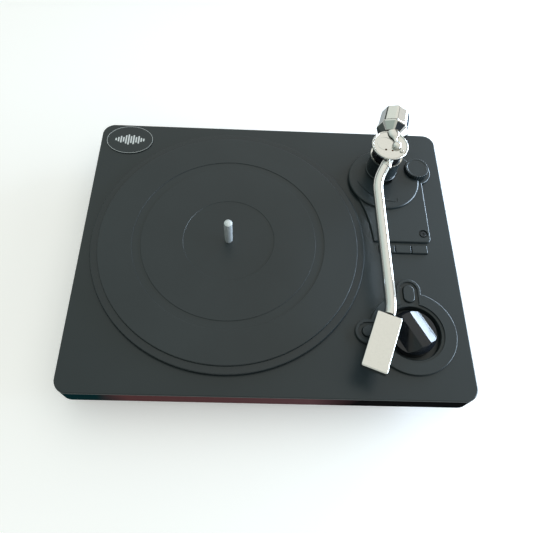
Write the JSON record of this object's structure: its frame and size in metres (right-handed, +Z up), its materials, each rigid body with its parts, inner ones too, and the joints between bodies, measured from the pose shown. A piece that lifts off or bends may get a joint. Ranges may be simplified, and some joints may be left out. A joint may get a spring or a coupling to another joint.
{
  "type": "turntable record player",
  "caption": "Compact belt-drive record player: flat box plinth, turning platter with mat and spindle, pivoted arm with counterweight, speed keys and a round control cluster.",
  "frame": {"origin": "on the surface the feet stand on, under the middle of the plinth's outline", "axes": "+X from the platter side to the arm side along the long edge, +Y from the control edge at the front to the sockets at the back, +Z up"},
  "size_m": [0.339, 0.275, 0.088],
  "materials": {
    "deck_plastic": "satin moulded, charcoal",
    "pan_plastic": "matt moulded",
    "trim_plastic": "satin moulded",
    "gloss_black": "polished moulded",
    "platter_paint": "satin black paint",
    "mat_rubber": "moulded, matt",
    "black_rubber": "moulded, matt",
    "chrome_plate": "polished plate",
    "bright_steel": "turned",
    "dark_metal": "blackened, satin",
    "bearing_brass": "turned",
    "white_nylon": "natural",
    "board": "green solder mask",
    "red_insert": "moulded",
    "white_insert": "moulded",
    "stylus_plastic": "moulded"
  },
  "bodies": {
    "chassis": {"deck": "deck_plastic", "bottom_pan": "pan_plastic", "pan_screw_front_left": "bright_steel", "pan_screw_front_right": "bright_steel", "pan_screw_back_left": "bright_steel", "pan_screw_back_right": "bright_steel", "foot_front_left": "black_rubber", "foot_front_right": "black_rubber", "foot_back_left": "black_rubber", "foot_back_right": "black_rubber", "bearing_housing": "bearing_brass", "thrust_pad": "white_nylon", "drive_belt": "black_rubber", "motor_body": "bright_steel", "motor_gasket": "black_rubber", "motor_screw_front": "bright_steel", "motor_screw_back": "bright_steel", "arm_plate": "trim_plastic", "arm_base_disc": "trim_plastic", "arm_post": "platter_paint", "arm_trim_ring": "chrome_plate", "arm_post_nut": "bright_steel", "arm_bearing": "bearing_brass", "plate_screw": "dark_metal", "control_bezel": "trim_plastic", "badge": "dark_metal", "volume_pot": "dark_metal", "control_board": "board", "speed_switch_bank": "board", "main_board": "board", "dc_jack": "pan_plastic", "phono_socket_left": "white_insert", "phono_socket_right": "red_insert"},
    "turning_platter": {"platter": "platter_paint", "platter_mat": "mat_rubber", "drive_ring": "pan_plastic", "spindle": "bright_steel"},
    "motor_rotor": {"motor_shaft": "bright_steel", "motor_pulley": "bearing_brass"},
    "arm_pivot": {"swing_yoke": "dark_metal"},
    "tonearm": {"gimbal_pin": "bright_steel", "arm_block": "dark_metal", "pivot_cap": "chrome_plate", "cap_nut": "chrome_plate", "arm_tube": "chrome_plate", "rear_stub": "bright_steel", "headshell": "chrome_plate", "cartridge": "pan_plastic", "stylus": "stylus_plastic"},
    "balance_weight": {"counterweight": "chrome_plate"},
    "antiskate_knob": {"antiskate_dial": "gloss_black", "dial_clip": "bright_steel"},
    "volume_control": {"volume_knob": "gloss_black", "pot_shaft": "bright_steel"},
    "key_33": {"speed_key_33": "trim_plastic"},
    "key_45": {"speed_key_45": "trim_plastic"},
    "key_78": {"speed_key_78": "trim_plastic"},
    "start_button": {"button_top": "gloss_black"},
    "source_button": {"button_left": "gloss_black"}
  },
  "joints": [
    {"name": "platter_spin", "type": "hinge", "parent": "chassis", "child": "turning_platter", "pos_m": [-0.0369, 0.0026, 0.0383], "axis": [0, 0, 1], "continuous": true},
    {"name": "motor_spin", "type": "hinge", "parent": "chassis", "child": "motor_rotor", "pos_m": [-0.10478, 0.07048, 0.0363], "axis": [0, 0, 1], "continuous": true},
    {"name": "arm_swing", "type": "hinge", "parent": "chassis", "child": "arm_pivot", "pos_m": [0.10937, 0.08768, 0.0643], "axis": [0, 0, 1], "range_deg": [-36, 3]},
    {"name": "arm_lift", "type": "hinge", "parent": "arm_pivot", "child": "tonearm", "pos_m": [0.10937, 0.08768, 0.0728], "axis": [-1, 0, 0], "range_deg": [0, 10]},
    {"name": "weight_slide", "type": "slide", "parent": "tonearm", "child": "balance_weight", "axis": [0.2504, 0.9681, 0], "range_m": [0, 0.006]},
    {"name": "antiskate_turn", "type": "hinge", "parent": "chassis", "child": "antiskate_knob", "pos_m": [0.14407, 0.08848, 0.04], "axis": [0, 0, 1], "range_deg": [-150, 150]},
    {"name": "volume_turn", "type": "hinge", "parent": "chassis", "child": "volume_control", "pos_m": [0.12192, -0.08052, 0.04], "axis": [0, 0, 1], "range_deg": [-150, 150]},
    {"name": "key_33_press", "type": "slide", "parent": "chassis", "child": "key_33", "axis": [0, 0, -1], "range_m": [0, 0.0015], "stiffness_N_per_m": 200, "springref_m": -0.0005},
    {"name": "key_45_press", "type": "slide", "parent": "chassis", "child": "key_45", "axis": [0, 0, -1], "range_m": [0, 0.0015], "stiffness_N_per_m": 200, "springref_m": -0.0005},
    {"name": "key_78_press", "type": "slide", "parent": "chassis", "child": "key_78", "axis": [0, 0, -1], "range_m": [0, 0.0015], "stiffness_N_per_m": 200, "springref_m": -0.0005},
    {"name": "start_press", "type": "slide", "parent": "chassis", "child": "start_button", "axis": [0, 0, -1], "range_m": [0, 0.0012], "stiffness_N_per_m": 200, "springref_m": -0.0005},
    {"name": "source_press", "type": "slide", "parent": "chassis", "child": "source_button", "axis": [0, 0, -1], "range_m": [0, 0.0012], "stiffness_N_per_m": 200, "springref_m": -0.0005}
  ],
  "couplings": [
    {"joint": "motor_spin", "follows": "platter_spin", "ratio": 12.5}
  ]
}
